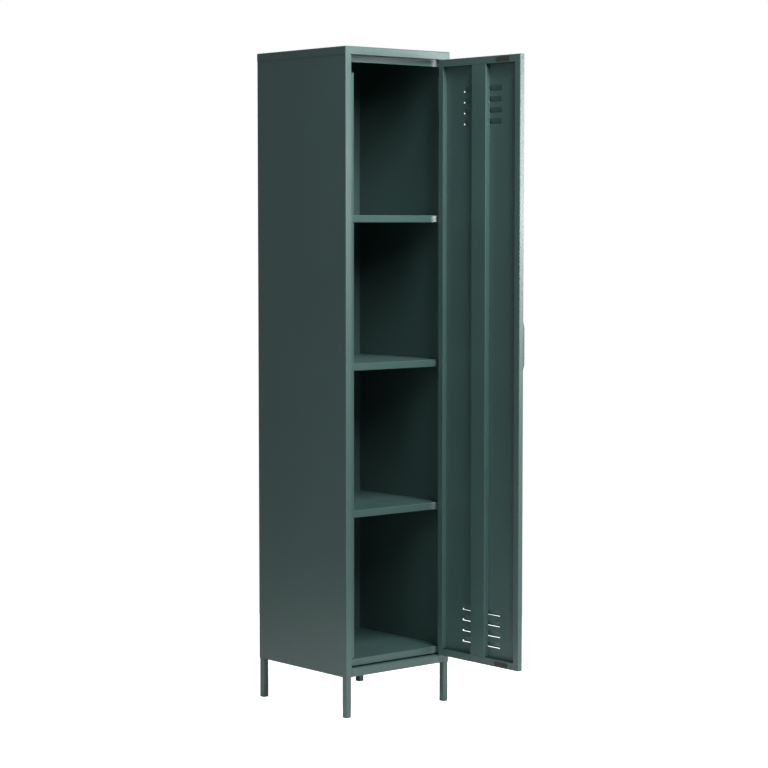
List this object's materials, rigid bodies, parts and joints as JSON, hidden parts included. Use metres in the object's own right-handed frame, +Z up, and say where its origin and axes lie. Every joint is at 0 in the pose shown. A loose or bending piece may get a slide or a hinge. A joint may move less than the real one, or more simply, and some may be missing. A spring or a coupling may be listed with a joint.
{
  "type": "school locker",
  "caption": "Tall free-standing steel locker on square legs, with a louvred hinged door standing open and tray shelves inside.",
  "frame": {"origin": "on the floor, at the centre of the four feet", "axes": "+X to the right seen from the front, +Y to the back, +Z up"},
  "size_m": [0.38, 0.7345, 1.85],
  "materials": {
    "paint": "satin powder coat, dark blue-green, fine orange peel",
    "pin_steel": "bright drawn steel",
    "plated_steel": "zinc plated",
    "plain_steel": "bare mild steel",
    "magnet": "dark brown flexible magnet strip, dull",
    "glide_plastic": "matt black moulded plastic"
  },
  "bodies": {
    "cabinet": {"side_panel_left": "paint", "side_panel_right": "paint", "back_panel": "paint", "top_cap": "paint", "top_stop_rail": "paint", "base_rail": "paint", "base_pan": "paint", "leg_plugs": "plain_steel", "base_corner_plates": "plain_steel", "leg_bolts": "plated_steel", "foot_glides": "glide_plastic", "floor_panel": "paint", "floor_panel_clips": "paint", "shelf_lower": "paint", "shelf_lower_clips": "paint", "shelf_middle": "paint", "shelf_middle_clips": "paint", "shelf_upper": "paint", "shelf_upper_clips": "paint", "leg_front_left": "paint", "leg_front_right": "paint", "leg_rear_left": "paint", "leg_rear_right": "paint", "hinge_frame_leaf_bottom": "paint", "hinge_pin_bottom": "pin_steel", "hinge_frame_leaf_middle": "paint", "hinge_pin_middle": "pin_steel", "hinge_frame_leaf_top": "paint", "hinge_pin_top": "pin_steel"},
    "door": {"door_panel": "paint", "door_stiffener": "paint", "door_magnet_top": "magnet", "door_magnet_bottom": "magnet", "door_handle": "paint", "handle_push_nuts": "plated_steel", "hinge_door_leaf_bottom": "paint", "hinge_door_leaf_middle": "paint", "hinge_door_leaf_top": "paint"}
  },
  "joints": [
    {"name": "door_hinge", "type": "hinge", "parent": "cabinet", "child": "door", "pos_m": [0.165, -0.2035, 0.9825], "axis": [0, 0, 1], "range_deg": [-90, 80]}
  ]
}
